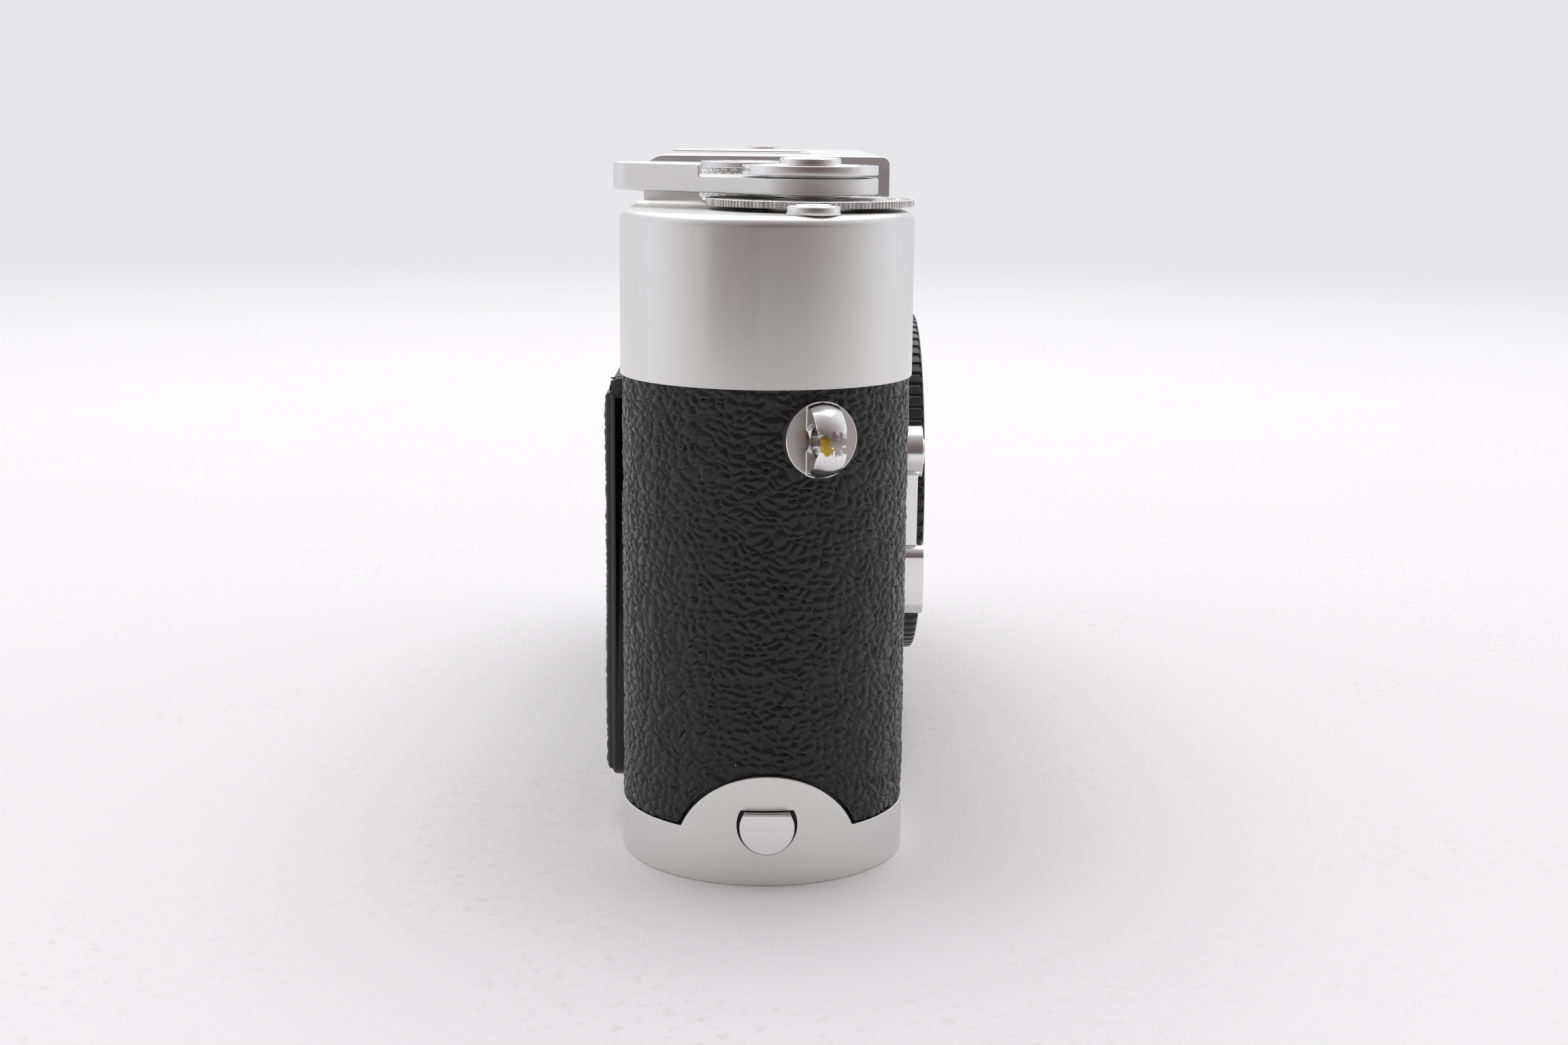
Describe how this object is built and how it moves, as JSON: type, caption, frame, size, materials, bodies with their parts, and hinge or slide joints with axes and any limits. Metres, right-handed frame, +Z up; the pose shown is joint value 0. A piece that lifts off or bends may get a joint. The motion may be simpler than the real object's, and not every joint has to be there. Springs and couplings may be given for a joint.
{
  "type": "film camera",
  "caption": "Metal rangefinder camera body for 35 mm film, with wind lever, film door, removable base plate and a cap on its lens mount.",
  "frame": {"origin": "centre of the base plate's underside, on the surface that the camera stands on", "axes": "+X along the body away from the wind lever, -Y out of the lens mount, +Y out of the film door, +Z up"},
  "size_m": [0.1434, 0.0389, 0.0773],
  "materials": {
    "satin_chrome": "satin, bead-blasted chrome",
    "polished_chrome": "polished",
    "steel": "turned",
    "brass": "machined",
    "grain_covering": "coarse pebbled grain, semi-matte",
    "black_enamel": "satin black",
    "die_cast": "die-cast, blackened",
    "black_plastic": "gloss",
    "curtain_cloth": "rubberised silk",
    "optical_glass": "coated",
    "frosted_glass": "frosted"
  },
  "bodies": {
    "camera_body": {"body_shell": "die_cast", "body_covering": "grain_covering", "mechanism_deck": "die_cast", "light_chamber": "die_cast", "film_gate_frame": "die_cast", "cassette_chamber": "die_cast", "shutter_curtain": "curtain_cloth", "curtain_roller": "steel", "top_cover": "satin_chrome", "window_frames": "black_enamel", "viewfinder_window": "optical_glass", "frosted_window": "frosted_glass", "rangefinder_window": "optical_glass", "eyepiece_ring": "polished_chrome", "eyepiece_lens": "optical_glass", "viewfinder_block": "optical_glass", "rangefinder_bar": "optical_glass", "accessory_shoe": "satin_chrome", "shoe_screws": "steel", "flash_sockets": "polished_chrome", "lens_flange": "polished_chrome", "flange_screws": "steel", "release_guard": "polished_chrome", "strap_lugs": "polished_chrome", "end_stud": "polished_chrome", "index_boss": "polished_chrome", "counter_bearing": "steel", "hinge_brackets": "black_enamel", "hinge_pin": "steel", "self_timer_base": "satin_chrome", "latch_catch": "steel"},
    "wind_lever": {"lever_arm": "satin_chrome", "lever_cap": "satin_chrome", "wind_shaft": "steel", "wind_gear": "brass"},
    "take_up": {"take_up_spool": "steel"},
    "idler": {"idler_gear": "brass"},
    "sprocket": {"sprocket_roller": "steel"},
    "counter": {"counter_disc": "satin_chrome"},
    "release": {"release_button": "polished_chrome"},
    "dial": {"speed_dial": "satin_chrome"},
    "rewind_drive": {"rewind_sleeve": "steel"},
    "rewind": {"rewind_knob": "satin_chrome", "rewind_fork": "steel"},
    "self_timer": {"self_timer_lever": "polished_chrome", "self_timer_screw": "polished_chrome"},
    "film_release": {"rewind_release": "polished_chrome"},
    "selector": {"frame_selector": "polished_chrome"},
    "lens_lock": {"lens_release": "polished_chrome"},
    "cap": {"body_cap": "black_plastic"},
    "rangefinder": {"rangefinder_arm": "steel"},
    "base": {"base_plate": "satin_chrome", "tripod_bush": "brass"},
    "latch": {"latch_disc": "satin_chrome"},
    "latch_key": {"latch_handle": "satin_chrome"},
    "door": {"back_door": "black_enamel", "door_covering": "grain_covering"},
    "film_plate": {"pressure_plate": "die_cast"},
    "reminder": {"reminder_disc": "polished_chrome"}
  },
  "joints": [
    {"name": "wind_stroke", "type": "hinge", "parent": "camera_body", "child": "wind_lever", "pos_m": [-0.0503, -0.0047, 0.074], "axis": [0, 0, 1], "range_deg": [0, 150], "stiffness_Nm_per_rad": 0.01, "springref_deg": -28.65},
    {"name": "take_up_spin", "type": "hinge", "parent": "camera_body", "child": "take_up", "pos_m": [-0.0503, -0.0047, 0.03], "axis": [0, 0, 1], "range_deg": [0, 150]},
    {"name": "idler_spin", "type": "hinge", "parent": "camera_body", "child": "idler", "pos_m": [-0.03719, 0.00114, 0.056], "axis": [0, 0, 1], "range_deg": [-212, 0]},
    {"name": "sprocket_spin", "type": "hinge", "parent": "camera_body", "child": "sprocket", "pos_m": [-0.02856, 0.00498, 0.03], "axis": [0, 0, 1], "range_deg": [0, 360]},
    {"name": "counter_set", "type": "hinge", "parent": "camera_body", "child": "counter", "pos_m": [-0.0503, -0.0047, 0.0725], "axis": [0, 0, 1], "continuous": true},
    {"name": "release_press", "type": "slide", "parent": "camera_body", "child": "release", "axis": [0, 0, -1], "range_m": [0, 0.002], "stiffness_N_per_m": 300, "springref_m": -0.001},
    {"name": "dial_turn", "type": "hinge", "parent": "camera_body", "child": "dial", "pos_m": [-0.0314, 0.0012, 0.074], "axis": [0, 0, 1], "range_deg": [-180, 90]},
    {"name": "rewind_turn", "type": "hinge", "parent": "camera_body", "child": "rewind_drive", "pos_m": [0.0529, 0, 0.06], "axis": [0, 0, 1], "continuous": true},
    {"name": "rewind_lift", "type": "slide", "parent": "rewind_drive", "child": "rewind", "axis": [0, 0, 1], "range_m": [0, 0.007]},
    {"name": "self_timer_swing", "type": "hinge", "parent": "camera_body", "child": "self_timer", "pos_m": [-0.0267, -0.017, 0.0411], "axis": [0, 1, 0], "range_deg": [0, 135]},
    {"name": "film_release_turn", "type": "hinge", "parent": "camera_body", "child": "film_release", "pos_m": [-0.024, -0.017, 0.0125], "axis": [0, -1, 0], "range_deg": [0, 90]},
    {"name": "selector_swing", "type": "hinge", "parent": "camera_body", "child": "selector", "pos_m": [0.037, -0.017, 0.0445], "axis": [0, 1, 0], "range_deg": [-22, 22], "stiffness_Nm_per_rad": 0.01},
    {"name": "lens_release_press", "type": "slide", "parent": "camera_body", "child": "lens_lock", "axis": [0, 1, 0], "range_m": [0, 0.0015], "stiffness_N_per_m": 300, "springref_m": -0.001},
    {"name": "cap_pull", "type": "slide", "parent": "camera_body", "child": "cap", "axis": [0, -1, 0], "range_m": [0, 0.02]},
    {"name": "rangefinder_follow", "type": "hinge", "parent": "camera_body", "child": "rangefinder", "pos_m": [-0.014, -0.0085, 0.05], "axis": [0, 0, 1], "range_deg": [0, 5], "stiffness_Nm_per_rad": 0.01, "springref_deg": -5.73},
    {"name": "base_swing", "type": "hinge", "parent": "camera_body", "child": "base", "pos_m": [-0.0686, -0.0004, 0.0123], "axis": [0, 1, 0], "range_deg": [0, 50]},
    {"name": "latch_turn", "type": "hinge", "parent": "base", "child": "latch", "pos_m": [0.0529, 0, 0.001], "axis": [0, 0, 1], "range_deg": [0, 180]},
    {"name": "latch_key_fold", "type": "hinge", "parent": "latch", "child": "latch_key", "pos_m": [0.0529, 0, 0.0007], "axis": [-1, 0, 0], "range_deg": [0, 90]},
    {"name": "door_swing", "type": "hinge", "parent": "camera_body", "child": "door", "pos_m": [-0.005, 0.0163, 0.0518], "axis": [1, 0, 0], "range_deg": [0, 75]},
    {"name": "film_plate_float", "type": "slide", "parent": "door", "child": "film_plate", "axis": [0, 1, 0], "range_m": [0, 0.0005], "stiffness_N_per_m": 400, "springref_m": -0.0005},
    {"name": "reminder_turn", "type": "hinge", "parent": "door", "child": "reminder", "pos_m": [-0.005, 0.018, 0.0336], "axis": [0, 1, 0], "continuous": true}
  ],
  "couplings": [
    {"joint": "take_up_spin", "follows": "wind_stroke", "ratio": 1},
    {"joint": "idler_spin", "follows": "wind_stroke", "ratio": -1.4118},
    {"joint": "sprocket_spin", "follows": "wind_stroke", "ratio": 2.4}
  ]
}
